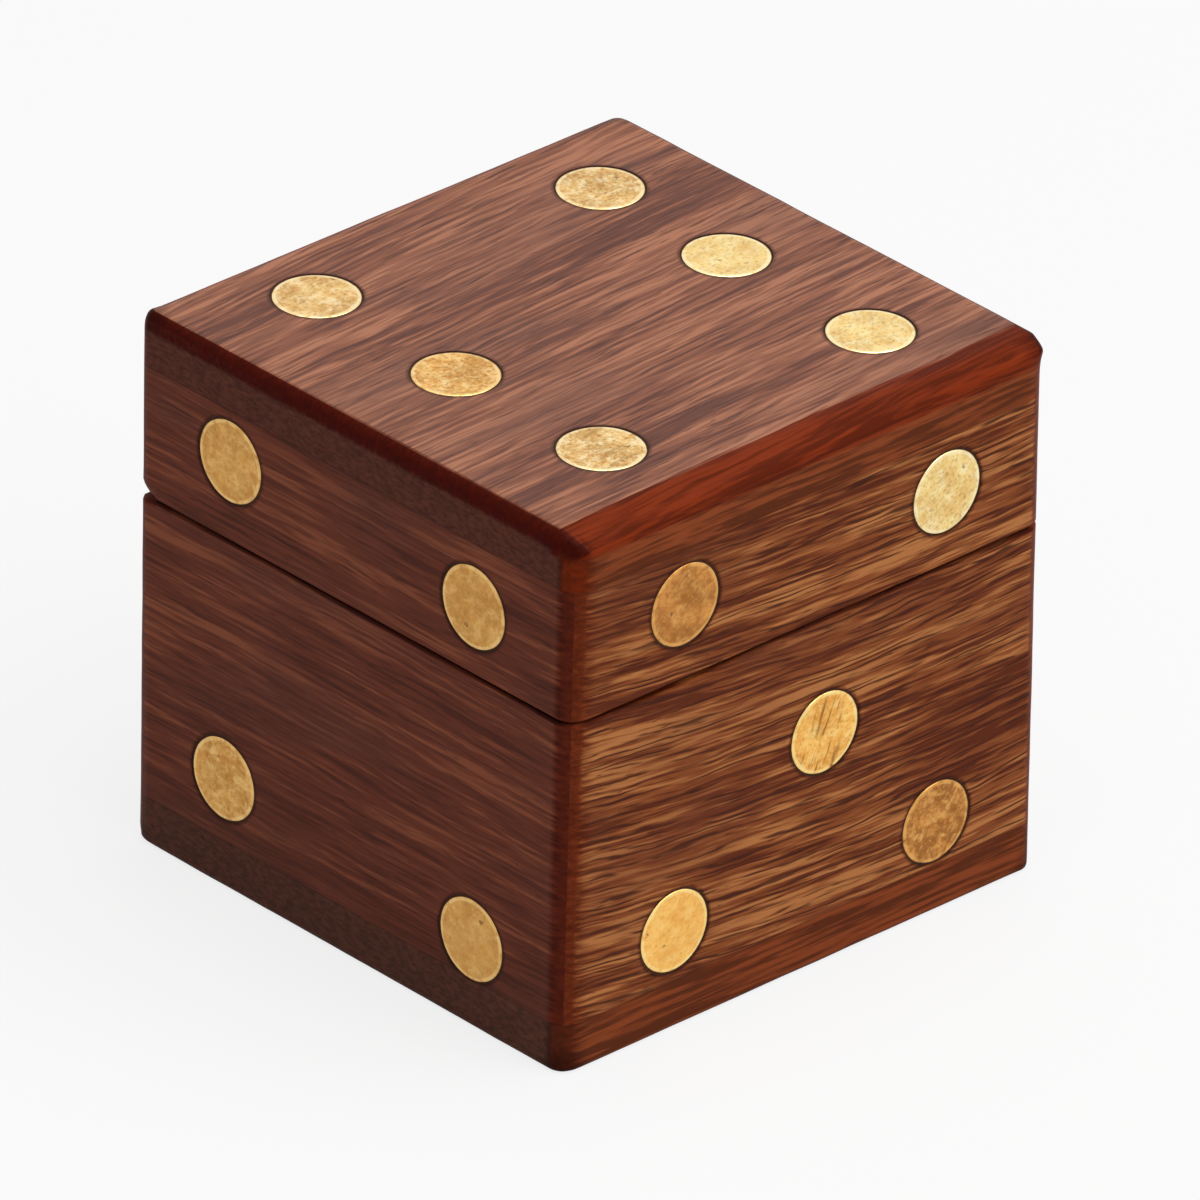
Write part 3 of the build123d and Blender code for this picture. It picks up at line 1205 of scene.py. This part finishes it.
@dataclass(frozen=True)
class Sanding:
    """Hand sanding of the whole box: every outer edge, worked over in one go after gluing up.

    Attributes:
        low: lowest corner of the box, in metres.
        high: highest corner.
        edges: the sanded edges.
        fine_depths: where boards are cut up under their outer faces, in millimetres.
        pitch: distance between the cuts elsewhere.
        dip_middle: place along X of the worn dip in the base's front rim, in millimetres.
        dip_half: half its length.
        dip_depth: its depth.
        dip_reach: how far below the rim the wood gives way.
        seam: height of the seam, in millimetres.
        seam_cuts: distances from it at which boards are cut up too.
        seam_gap: how far beyond those the next cut lies at least.
        notch_depth: how far the back corners are rounded off at the seam.
        notch_half: side of the square of wood at a corner that this takes from.
        notch_above: how far it reaches up the lid.
        notch_below: how far it reaches down the base.
        notch_ease: keeps every move of the wood below the notch's depth.
    """

    low: Vector
    high: Vector
    edges: tuple[SandedEdge, ...] = (
        SandedEdge((0, 1), (-1, -1), 2.4, (2.6, 2.1), (3.0, 2.7), 0.2, 2.3),
        SandedEdge((0, 1), (1, -1), 2.0, (1.7, 1.7), (3.0, 3.0)),
        SandedEdge((0, 1), (-1, 1), 1.7, (2.4, 2.4), (1.4, 1.4)),
        SandedEdge((0, 1), (1, 1), 1.7, (1.9, 1.9), (2.2, 2.2)),
        SandedEdge((1, 2), (-1, 1), 3.2, (4.0, 1.9), (2.7, 1.1), 0.3, 1.5),
        SandedEdge((0, 2), (-1, 1), 2.4, (1.4, 2.3), (1.0, 2.2)),
        SandedEdge((0, 2), (1, 1), 2.0, (0.9, 0.9), (0.9, 0.9)),
        SandedEdge((1, 2), (1, 1), 1.7, (1.5, 1.5), (1.7, 1.7)),
        SandedEdge((1, 2), (-1, -1), 0.6, (0.6, 0.6), (0.6, 0.6)),
        SandedEdge((0, 2), (-1, -1), 0.6, (0.6, 0.6), (0.9, 0.9)),
        SandedEdge((0, 2), (1, -1), 0.6, (0.8, 0.8), (0.8, 0.8)),
        SandedEdge((1, 2), (1, -1), 0.6, (0.7, 0.7), (0.7, 0.7)),
    )
    fine_depths: tuple[float, ...] = (0.35, 0.75, 1.2, 1.7, 2.3, 3.0, 3.8, 4.5, 5.2)
    pitch: float = 2.4
    dip_middle: float = -17.0
    dip_half: float = 8.0
    dip_depth: float = 0.32
    dip_reach: float = 1.6
    seam: float = 38.8
    seam_cuts: tuple[float, ...] = (0.3, 0.55, 0.85, 1.2, 1.6)
    seam_gap: float = 0.3
    notch_depth: float = 0.95
    notch_half: float = 3.0
    notch_above: float = 1.6
    notch_below: float = 0.7
    notch_ease: float = 1.2

    @staticmethod
    def of_boards(nodes: Iterable[str]) -> "Sanding":
        """The sanding of the box that some boards make up.

        Args:
            nodes: nodes of all outer boards.

        Returns:
            The sanding.
        """
        boxes = [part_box(node) for node in nodes]
        low = Vector([min(box[0][axis] for box in boxes) for axis in range(3)])
        high = Vector([max(box[1][axis] for box in boxes) for axis in range(3)])
        return Sanding(low, high)

    def cut_up(self, bm: bmesh.types.BMesh) -> None:
        """Cuts a board's surface into small facets, so that it can be worked.

        Args:
            bm: the board.
        """
        for axis in range(3):
            normal = Vector([1.0 if index == axis else 0.0 for index in range(3)])
            for place in self._cuts(axis):
                bmesh.ops.bisect_plane(bm, geom=[*bm.verts, *bm.edges, *bm.faces], dist=CUT_DISTANCE,
                                       plane_co=normal * place, plane_no=normal)

    def _cuts(self, axis: int) -> list[float]:
        """Where the boards are cut up along one axis.

        Args:
            axis: the axis, 0 to 2.

        Returns:
            Places of the cuts, in metres.
        """
        low, high = self.low[axis] / MM, self.high[axis] / MM
        inner = self.fine_depths[-1]
        count = round((high - low - 2 * inner) / self.pitch)
        places = [low + inner + (high - low - 2 * inner) * step / count for step in range(1, count)]
        places += [low + depth for depth in self.fine_depths]
        places += [high - depth for depth in self.fine_depths]
        if axis == 2:
            clear = self.seam_cuts[-1] + self.seam_gap
            places = [place for place in places if abs(place - self.seam) > clear]
            places += [self.seam + side * away for side in (-1, 1) for away in self.seam_cuts]
        return [place * MM for place in sorted(places)]

    def work(self, bm: bmesh.types.BMesh) -> None:
        """Sands a board, in place.

        Args:
            bm: the board.
        """
        for vert in bm.verts:
            for edge in self.edges:
                vert.co = edge.worked(vert.co, self.low, self.high)

    def round_back_corners(self, bm: bmesh.types.BMesh) -> None:
        """Rounds a board off where a back corner of the box meets the seam, in place.

        Args:
            bm: the board.
        """
        for vert in bm.verts:
            side = 1 if vert.co.x > 0 else -1
            wide = self.notch_half - ((self.high.x if side > 0 else -self.low.x) - abs(vert.co.x)) / MM
            deep = self.notch_half - (self.high.y - vert.co.y) / MM
            away = vert.co.z / MM - self.seam
            near = 1 - abs(away) / (self.notch_above if away > 0 else self.notch_below)
            if min(wide, deep, near) > 0:
                bite = self.notch_depth * near ** 1.5 * 2 * wide * deep / (wide ** 2 + deep ** 2)
                vert.co.x -= side * wide * bite / (self.notch_half * self.notch_ease) * MM
                vert.co.y -= deep * bite / (self.notch_half * self.notch_ease) * MM

    def wear_rim(self, bm: bmesh.types.BMesh) -> None:
        """Wears a shallow dip into the outside of the base's front rim, in place.

        Args:
            bm: the base's front wall.
        """
        rim = max(vert.co.z for vert in bm.verts)
        for vert in bm.verts:
            along = 1 - ((vert.co.x / MM - self.dip_middle) / self.dip_half) ** 2
            under = 1 - (rim - vert.co.z) / MM / self.dip_reach
            inward = 1 - (vert.co.y - self.low.y) / MM / self.dip_reach
            if min(along, under, inward) > 0:
                vert.co.z -= self.dip_depth * along ** 2 * under * inward * MM


# ---------------------------------------------------------------------------------------------------
# Sub-assemblies


@dataclass
class Casing:
    """Five boards glued up into one half of the box.

    Attributes:
        body: body that they ride on.
        finishes: finish of each board.
        slots: material slot of each board; not used.
        pips: the pips let into them.
        sanding: how the outside is sanded.
        outline: outer faces and joints of the box.
    """

    body: str
    finishes: dict[str, Rosewood]
    slots: dict[str, str]
    pips: Iterable[str]
    sanding: Sanding
    outline: Outline

    def build(self) -> list[bpy.types.Object]:
        """Copies each board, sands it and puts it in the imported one's place.

        Returns:
            The boards.
        """
        pieces = []
        for node, finish in self.finishes.items():
            bm = copy_of(node)
            self.sanding.cut_up(bm)
            self.sanding.work(bm)
            self.sanding.round_back_corners(bm)
            if node == "base_front_wall":
                self.sanding.wear_rim(bm)
            piece = new_piece(f"{node}_board", bm, finish.material(self.outline, self._pips_in(node)))
            keep_flats(piece)
            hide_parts(node)
            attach(piece, self.body)
            pieces.append(piece)
        return pieces

    def _pips_in(self, board: str) -> list[Vector]:
        """The pips let into a board.

        Args:
            board: node of the board.

        Returns:
            Middles of their faces, in millimetres.
        """
        low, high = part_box(board)
        faces = [pip_place(node)[0].translation for node in self.pips]
        return [face / MM for face in faces
                if all(low[axis] - MM < face[axis] < high[axis] + MM for axis in range(3))]


class BrassTone(Enum):
    """Shades that the pips have taken on: the clean metal, its tarnish and its glint."""

    PALE = (linear(250, 224, 152), linear(230, 192, 118), linear(255, 240, 192))
    STRAW = (linear(242, 206, 138), linear(208, 164, 94), linear(255, 234, 184))
    GOLD = (linear(240, 190, 110), linear(204, 150, 72), linear(250, 216, 150))
    AMBER = (linear(252, 197, 106), linear(226, 160, 72), linear(255, 226, 148))
    OCHRE = (linear(202, 153, 81), linear(176, 124, 56), linear(226, 186, 120))
    BROWNED = (linear(208, 144, 74), linear(156, 98, 42), linear(228, 172, 96))


@dataclass(frozen=True)
class PipLook:
    """How one pip came out of the sanding.

    Attributes:
        tone: shade of its metal.
        patina: how much of it is mottled, 0 to 1.
        angle: direction of its scratches, in radians.
        scratches: strength of its scratches, 0 to 1.
    """

    tone: BrassTone
    patina: float = 0.5
    angle: float = 0.0
    scratches: float = 0.2


@dataclass
class Pips:
    """The brass pips of one half of the box and the glue line round each.

    Attributes:
        body: body that they ride on.
        looks: look of each pip by node.
        first_seed: moves the patterns of all of them.
        rings: steps from the middle of a disc to its rim.
        spokes: steps round it.
        rim_steps: steps over its worn rim.
        rim_round: radius of the worn rim, in millimetres.
        wobble: how much a disc strays from a true circle.
        dish: how far its face dips here and there.
        glue_depth: how far the glue lies under the face.
        glue_sink: how much further it sinks here and there.
        glue_foot: how deep it fills the gap.
        glue_lap: how far it laps under the disc's edge.
        glue_width: width of the glue line, a little more than the gap.
    """

    body: str
    looks: dict[str, PipLook]
    first_seed: float
    rings: int = 14
    spokes: int = 72
    rim_steps: int = 4
    rim_round: float = 0.2
    wobble: float = 0.08
    dish: float = 0.012
    glue_depth: float = 0.035
    glue_sink: float = 0.05
    glue_foot: float = 0.6
    glue_lap: float = 0.01
    glue_width: float = 0.20

    def build(self) -> list[bpy.types.Object]:
        """Builds every disc and one piece that holds all glue lines.

        Returns:
            The discs and that piece.
        """
        pieces = []
        glue = bmesh.new()
        for number, (node, look) in enumerate(self.looks.items()):
            place, radius, thickness = pip_place(node)
            seed = number * 3.7 + self.first_seed
            bm = self._disc(radius, thickness, seed)
            bm.transform(Matrix.Scale(MM, 4))
            finish = PipBrass(f"{node}_brass", *look.tone.value, look.patina, look.angle, look.scratches,
                              seed)
            disc = new_piece(f"{node}_disc", bm, finish.material())
            disc.matrix_world = place
            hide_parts(node)
            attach(disc, self.body)
            self._add_glue(glue, place, radius, seed)
            pieces.append(disc)
        lines = new_piece(f"{self.body}_glue_lines", glue, GlueLine().material())
        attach(lines, self.body)
        return [*pieces, lines]

    def _profile(self, radius: float, thickness: float) -> list[tuple[float, float]]:
        """Section of a disc, from near its middle out over the worn rim and down its side.

        Args:
            radius: its radius.
            thickness: its thickness.

        Returns:
            Pairs of distance from the axis and height, in millimetres.
        """
        flat = radius - self.rim_round
        profile = [(flat * (ring / self.rings) ** 0.8, 0.0) for ring in range(1, self.rings + 1)]
        for step in range(1, self.rim_steps + 1):
            angle = math.radians(90 * step / self.rim_steps)
            profile.append((flat + self.rim_round * math.sin(angle),
                            self.rim_round * (math.cos(angle) - 1)))
        return [*profile, (radius, -thickness)]

    def _dip(self, x: float, y: float, seed: float) -> float:
        """How far a disc's face dips at a place, in millimetres."""
        return self.dish * (0.5 + 0.5 * swell(x * 0.45, y * 0.45, seed))

    def _disc(self, radius: float, thickness: float, seed: float) -> bmesh.types.BMesh:
        """A turned disc with a worn rim and a slightly uneven face, its face at height 0.

        Args:
            radius: its radius.
            thickness: its thickness.
            seed: moves the unevenness.

        Returns:
            The disc, in millimetres.
        """
        bm = bmesh.new()
        loops = []
        for reach, height in self._profile(radius, thickness):
            loop = []
            for spoke in range(self.spokes):
                angle = 2 * math.pi * spoke / self.spokes
                x, y = math.cos(angle), math.sin(angle)
                stray = self.wobble * (0.5 + 0.3 * swell(x * 1.3, y * 1.3, seed)
                                       + 0.3 * swell(x * 5.0, y * 5.0, seed))
                out = reach * (1 - stray / radius)
                dip = self._dip(x * reach, y * reach, seed) if height > -thickness else 0.0
                loop.append(bm.verts.new((x * out, y * out, height - dip)))
            loops.append(loop)
        top = bm.verts.new((0, 0, -self._dip(0, 0, seed)))
        foot = bm.verts.new((0, 0, -thickness))
        for spoke in range(self.spokes):
            after = (spoke + 1) % self.spokes
            bm.faces.new((top, loops[0][spoke], loops[0][after]))
            bm.faces.new((foot, loops[-1][after], loops[-1][spoke]))
            for inner, outer in zip(loops, loops[1:]):
                bm.faces.new((inner[spoke], outer[spoke], outer[after], inner[after]))
        return bm

    def _add_glue(self, bm: bmesh.types.BMesh, place: Matrix, radius: float, seed: float) -> None:
        """Adds one pip's glue line, a thin closed ring that fills the gap round it.

        Args:
            bm: receives the ring, in metres.
            place: frame of the pip's face.
            radius: radius of the pip.
            seed: moves the unevenness.
        """
        inner = radius - self.wobble - self.glue_lap
        outer = radius - self.wobble + self.glue_width
        section = ((inner, -self.glue_depth), (outer, -self.glue_depth), (outer, -self.glue_foot),
                   (inner, -self.glue_foot))
        loops = []
        for spoke in range(self.spokes):
            angle = 2 * math.pi * spoke / self.spokes
            x, y = math.cos(angle), math.sin(angle)
            sink = self.glue_sink * (0.5 + 0.5 * swell(x * 2.0, y * 2.0, seed + 20.0))
            loops.append([bm.verts.new(place @ (Vector((x * reach, y * reach, height - sink)) * MM))
                          for reach, height in section])
        for spoke in range(self.spokes):
            here, there = loops[spoke], loops[(spoke + 1) % self.spokes]
            for corner in range(4):
                after = (corner + 1) % 4
                bm.faces.new((here[corner], here[after], there[after], there[corner]))


@dataclass
class Hinges:
    """Two brass butt hinges with their pins and nails.

    Attributes:
        leaves: body of each leaf by node.
        pins: body of each pin by node.
        nails: body of each set of nails by node.
        arris: how far the edges are softened, in millimetres.
        arris_angle: how sharp an edge has to be for that, in degrees.
    """

    leaves: dict[str, str]
    pins: dict[str, str]
    nails: dict[str, str]
    arris: float = 0.07
    arris_angle: float = 40.0

    def build(self) -> list[bpy.types.Object]:
        """Softens every packed hinge piece and dresses it.

        Returns:
            The leaves, pins and nails.
        """
        leaf_brass = HingeBrass().material()
        nail_brass = HingeBrass("nail_brass", (0.34, 0.20, 0.08), (0.15, 0.09, 0.04)).material()
        pieces = []
        for kind, finish in ((self.leaves, leaf_brass), (self.pins, leaf_brass),
                             (self.nails, nail_brass)):
            for node, body in kind.items():
                piece = new_piece(f"{node}_brass", copy_of(node), finish)
                soften = piece.modifiers.new("arris", "BEVEL")
                soften.width = self.arris * MM
                soften.segments = 2
                soften.limit_method = "ANGLE"
                soften.angle_limit = math.radians(self.arris_angle)
                soften.harden_normals = False
                even_normals(piece)
                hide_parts(node)
                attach(piece, body)
                pieces.append(piece)
        return pieces


# ---------------------------------------------------------------------------------------------------
# Studio

WHITE = (1.0, 1.0, 1.0)


def direction(azimuth: float, elevation: float) -> Vector:
    """Unit vector from the box to a bearing, 0 in front and 90 at the right, and a rise, in degrees."""
    turn, rise = math.radians(azimuth), math.radians(elevation)
    return Vector((math.sin(turn) * math.cos(rise), -math.cos(turn) * math.cos(rise), math.sin(rise)))


@dataclass
class Lamp:
    """A soft rectangular studio lamp that points at the box.

    Attributes:
        name: name of the lamp.
        azimuth: its bearing, in degrees.
        elevation: its height over the horizon, in degrees.
        distance: how far off it hangs, in metres.
        size: its width and height, in metres.
        power: its power, in watts.
    """

    name: str
    azimuth: float
    elevation: float
    distance: float
    size: tuple[float, float]
    power: float

    def build(self, target: Vector) -> None:
        """Hangs the lamp.

        Args:
            target: what it points at.
        """
        data = bpy.data.lights.new(self.name, "AREA")
        data.shape = "RECTANGLE"
        data.size, data.size_y = self.size
        data.energy = self.power
        lamp = placed(self.name, data)
        out = direction(self.azimuth, self.elevation)
        lamp.location = target + out * self.distance
        lamp.rotation_euler = out.to_track_quat("Z", "Y").to_euler()


@dataclass
class Studio:
    """Plain pale floor, soft lamps and the camera.

    Attributes:
        target: point that the camera and the lamps are turned to, in metres.
        azimuth: bearing of the camera, in degrees.
        elevation: its height over the horizon, in degrees.
        roll: its tilt, in degrees.
        distance: from the camera to the target, in metres.
        lens: its focal length, in millimetres.
        sensor: width of its sensor, in millimetres.
        farthest: how far it sees, in metres.
        aim: how far the camera is moved across and up its picture, in metres.
        floor_half: half the floor's width, in metres.
        floor_tint: colour in which the floor takes the light.
        floor_glow: how much of the floor shows plain white instead, which leaves a soft shadow.
        sky_tint: colour of the light from all round.
        lamps: the lamps.
    """

    target: Vector
    azimuth: float = -43.741
    elevation: float = 29.131
    roll: float = 1.549
    distance: float = 2.4404
    lens: float = 747.7
    sensor: float = 36.0
    farthest: float = 20.0
    aim: tuple[float, float] = (0.001096, -0.001071)
    floor_half: float = 3.0
    floor_tint: Colour = (0.80, 0.80, 0.80)
    floor_glow: float = 0.8
    sky_tint: Colour = (0.32, 0.32, 0.32)
    lamps: tuple[Lamp, ...] = (
        Lamp("overhead_lamp", 30.0, 76.0, 1.3, (1.2, 1.2), 12.5),
        Lamp("front_lamp", 25.0, 28.0, 1.3, (0.9, 0.9), 5.0),
    )

    def build(self) -> None:
        """Sets up everything that isn't part of the box."""
        bpy.context.scene.view_settings.view_transform = "Standard"
        self._floor()
        self._world()
        for lamp in self.lamps:
            lamp.build(self.target)
        self._camera()
        log.info("studio: %d lamps", len(self.lamps))

    def _floor(self) -> None:
        """A wide floor under the box that looks near white and takes a soft shadow."""
        mesh = bpy.data.meshes.new("floor")
        half = self.floor_half
        mesh.from_pydata([(-half, -half, 0), (half, -half, 0), (half, half, 0), (-half, half, 0)], [],
                         [(0, 1, 2, 3)])
        floor = placed("floor", mesh)
        s = Shader(bpy.data.materials.new("floor_paper"))
        matt = s.node("ShaderNodeBsdfDiffuse", None, {"Color": (*self.floor_tint, 1.0)})
        glow = s.node("ShaderNodeEmission", None, {"Color": (*WHITE, 1.0), "Strength": 1.0})
        s.close(s.node("ShaderNodeMixShader", None,
                       {0: self._seen_rays(s) * self.floor_glow, 1: matt, 2: glow}))
        mesh.materials.append(s.owner)

    def _world(self) -> None:
        """White surroundings for the camera and for reflections, grey light from all round."""
        world = bpy.data.worlds.new("studio")
        bpy.context.scene.world = world
        s = Shader(world)
        tint = s.mix(self._seen_rays(s), self.sky_tint, WHITE)
        s.close(s.node("ShaderNodeBackground", None, {"Color": tint, "Strength": 1.0}))

    @staticmethod
    def _seen_rays(s: Shader) -> Value:
        """1 for rays that show a surface, directly or mirrored, and 0 for those that light it."""
        kinds = ("Is Camera Ray", "Is Glossy Ray", "Is Transmission Ray")
        return reduce(Value.most, (s.node("ShaderNodeLightPath", output=kind) for kind in kinds))

    def _camera(self) -> None:
        """The camera, far off with a long lens."""
        back = direction(self.azimuth, self.elevation)
        right = Vector((0, 0, 1)).cross(back).normalized()
        up = back.cross(right)
        roll = math.radians(self.roll)
        across = right * math.cos(roll) + up * math.sin(roll)
        upward = up * math.cos(roll) - right * math.sin(roll)
        place = self.target + back * self.distance + across * self.aim[0] + upward * self.aim[1]
        data = bpy.data.cameras.new("camera")
        data.sensor_width = self.sensor
        data.lens = self.lens
        data.clip_end = self.farthest
        camera = placed("camera", data)
        turned = Matrix((across, upward, back)).transposed().to_4x4()
        camera.matrix_world = Matrix.Translation(place) @ turned
        bpy.context.scene.camera = camera


# ---------------------------------------------------------------------------------------------------
# The box


class Half(Enum):
    """The two halves of the box, by the names of their bodies."""

    BASE = "base"
    LID = "lid"


# The worn colours are partly painted shade on roundings that catch no sheen.
FRONT_TINT = WoodTint(dark=linear(92, 38, 14), middle=linear(134, 71, 34), light=linear(178, 114, 64),
                      streak=linear(62, 24, 10), cast=linear(112, 56, 32), worn=linear(104, 40, 18),
                      worn_and_shaded_ends=linear(102, 40, 18))
LEFT_TINT = WoodTint(dark=linear(84, 38, 24), middle=linear(110, 52, 34), light=linear(142, 78, 52),
                     streak=linear(60, 26, 18), cast=linear(94, 50, 40), worn=linear(88, 30, 16),
                     worn_and_shaded_ends=linear(86, 30, 16))
TOP_TINT = WoodTint(dark=linear(100, 54, 38), middle=linear(138, 82, 58), light=linear(172, 112, 82),
                    streak=linear(66, 30, 20), cast=linear(120, 76, 60), worn=linear(108, 36, 9),
                    worn_and_shaded_ends=linear(72, 14, 4), edges=linear(116, 56, 28), ends=linear(90, 48, 36))
BOTTOM_TINT = WoodTint(dark=linear(86, 38, 20), middle=linear(114, 56, 30), light=linear(140, 78, 48),
                       streak=linear(54, 24, 16), cast=linear(100, 52, 34), worn=linear(84, 34, 16),
                       worn_and_shaded_ends=linear(60, 26, 18), edges=linear(114, 54, 26), ends=linear(88, 52, 40))

FRONT_BELTS = ((52.0, 2.0, -0.20), (41.5, 2.0, 0.12), (36.5, 2.5, -0.16), (29.5, 3.5, 0.16),
               (23.0, 2.5, -0.16), (9.0, 4.0, 0.12))
SIDE_BELTS = ((50.5, 1.5, 0.12), (43.3, 1.2, 0.14), (36.0, 1.5, 0.10), (27.5, 1.2, 0.12),
              (17.8, 1.0, 0.12), (8.0, 3.0, -0.15))

LIVELY = Grain(bend=0.0013, crest=20.0, zones=1.0, ribbons=0.9, threads=2.3, hairs=0.3, lines=0.85,
               flecks=0.6, pores=0.6, belts=FRONT_BELTS)
QUIET = Grain(zones=0.7, ribbons=1.0, threads=1.5, hairs=0.2, lines=0.40, flecks=0.5, pores=0.4,
              belts=SIDE_BELTS)
BROAD = Grain(tilt=-0.05, zones=1.2, ribbons=1.5, threads=2.1, hairs=0.1, lines=0.45, flecks=0.8,
              pores=0.4)
EVEN = Grain(zones=0.8, ribbons=1.1, threads=1.4, hairs=0.8, lines=0.3, flecks=0.4, pores=0.3)

LID_SEED = 40.0


def board_finishes(half: Half) -> dict[str, Rosewood]:
    """Finishes of the boards of one half.

    Args:
        half: which half.

    Returns:
        The finish of each board by node.
    """
    name, seed = half.value, LID_SEED if half is Half.LID else 0.0
    walls = (("front", Lay.WALL_ALONG_X, FRONT_TINT, LIVELY, 0.06, 3.0),
             ("back", Lay.WALL_ALONG_X, FRONT_TINT, LIVELY, 0.12, 11.0),
             ("left", Lay.WALL_ALONG_Y, LEFT_TINT, QUIET, 0.06, 19.0),
             ("right", Lay.WALL_ALONG_Y, LEFT_TINT, QUIET, 0.06, 27.0))
    finishes = {
        f"{name}_{side}_wall": Rosewood(f"{name}_{side}_wood", lay, tint, grain, sheen, seed + own)
        for side, lay, tint, grain, sheen, own in walls
    }
    flat = Lay.FLAT_ALONG_X
    if half is Half.BASE:
        finishes["base_bottom"] = Rosewood("base_bottom_wood", flat, BOTTOM_TINT, EVEN, 0.06, 35.0)
    else:
        finishes["lid_top"] = Rosewood("lid_top_wood", flat, TOP_TINT, BROAD, 0.33, 43.0)
    return finishes


def board_slots(nodes: Iterable[str]) -> dict[str, str]:
    """Material slots of the boards by node."""
    special = {"lid_top": "wood_top", "base_bottom": "wood_bottom"}
    return {node: special.get(node, "wood_walls") for node in nodes}


LID_PIPS = {
    "top_pip_1": PipLook(BrassTone.STRAW, 0.8, 0.6),
    "top_pip_2": PipLook(BrassTone.GOLD, 0.95, 0.2),
    "top_pip_3": PipLook(BrassTone.STRAW, 1.0, 0.1, 0.4),
    "top_pip_4": PipLook(BrassTone.STRAW, 0.9, 1.2, 0.35),
    "top_pip_5": PipLook(BrassTone.PALE, 0.6, 0.4),
    "top_pip_6": PipLook(BrassTone.PALE, 0.65, 0.9),
    "front_pip_1": PipLook(BrassTone.BROWNED, 0.6, 0.9, 0.35),
    "front_pip_2": PipLook(BrassTone.PALE, 0.7, 0.4),
    "left_pip_1": PipLook(BrassTone.OCHRE, 0.5, 0.2),
    "left_pip_2": PipLook(BrassTone.OCHRE, 0.45, 0.3),
    "right_pip_1": PipLook(BrassTone.GOLD, 0.5, 0.7),
    "back_pip_1": PipLook(BrassTone.OCHRE, 0.5, 1.0),
}
BASE_PIPS = {
    "front_pip_3": PipLook(BrassTone.AMBER, 0.6, 1.2, 0.9),
    "front_pip_4": PipLook(BrassTone.AMBER, 0.35, 0.5, 0.1),
    "front_pip_5": PipLook(BrassTone.BROWNED, 0.9, 1.0, 0.8),
    "left_pip_3": PipLook(BrassTone.OCHRE, 0.7, 0.4),
    "left_pip_4": PipLook(BrassTone.OCHRE, 0.35, 0.8),
    "right_pip_2": PipLook(BrassTone.STRAW, 0.6, 0.3),
    "right_pip_3": PipLook(BrassTone.GOLD, 0.6, 1.1),
    "back_pip_2": PipLook(BrassTone.STRAW, 0.6, 0.6),
    "bottom_pip_1": PipLook(BrassTone.OCHRE, 0.6, 0.2),
}


def main() -> None:
    """Builds the studio and then the box, half by half, and reports each piece."""
    logging.basicConfig(level=logging.INFO, format="%(name)s: %(message)s")
    outline = Outline.of_frame()
    Studio(Vector((0, 0, outline.top / 2 * MM))).build()
    finishes = {half: board_finishes(half) for half in Half}
    sanding = Sanding.of_boards([node for boards in finishes.values() for node in boards])
    pieces: list[bpy.types.Object] = []
    for half, pips, first_seed in ((Half.BASE, BASE_PIPS, 0.0), (Half.LID, LID_PIPS, 50.0)):
        boards = finishes[half]
        pieces += Casing(half.value, boards, board_slots(boards), pips, sanding, outline).build()
        pieces += Pips(half.value, pips, first_seed).build()
    pieces += Hinges(
        leaves={f"{side}_hinge_{half.value}_leaf": half.value
                for side in ("left", "right") for half in Half},
        pins={f"{side}_hinge_pin": "base" for side in ("left", "right")},
        nails={f"{half.value}_hinge_nails": half.value for half in Half},
    ).build()
    for piece in pieces:
        log.info("%s: %d faces", piece.name, len(piece.data.polygons))


if __name__ == "__main__":
    main()
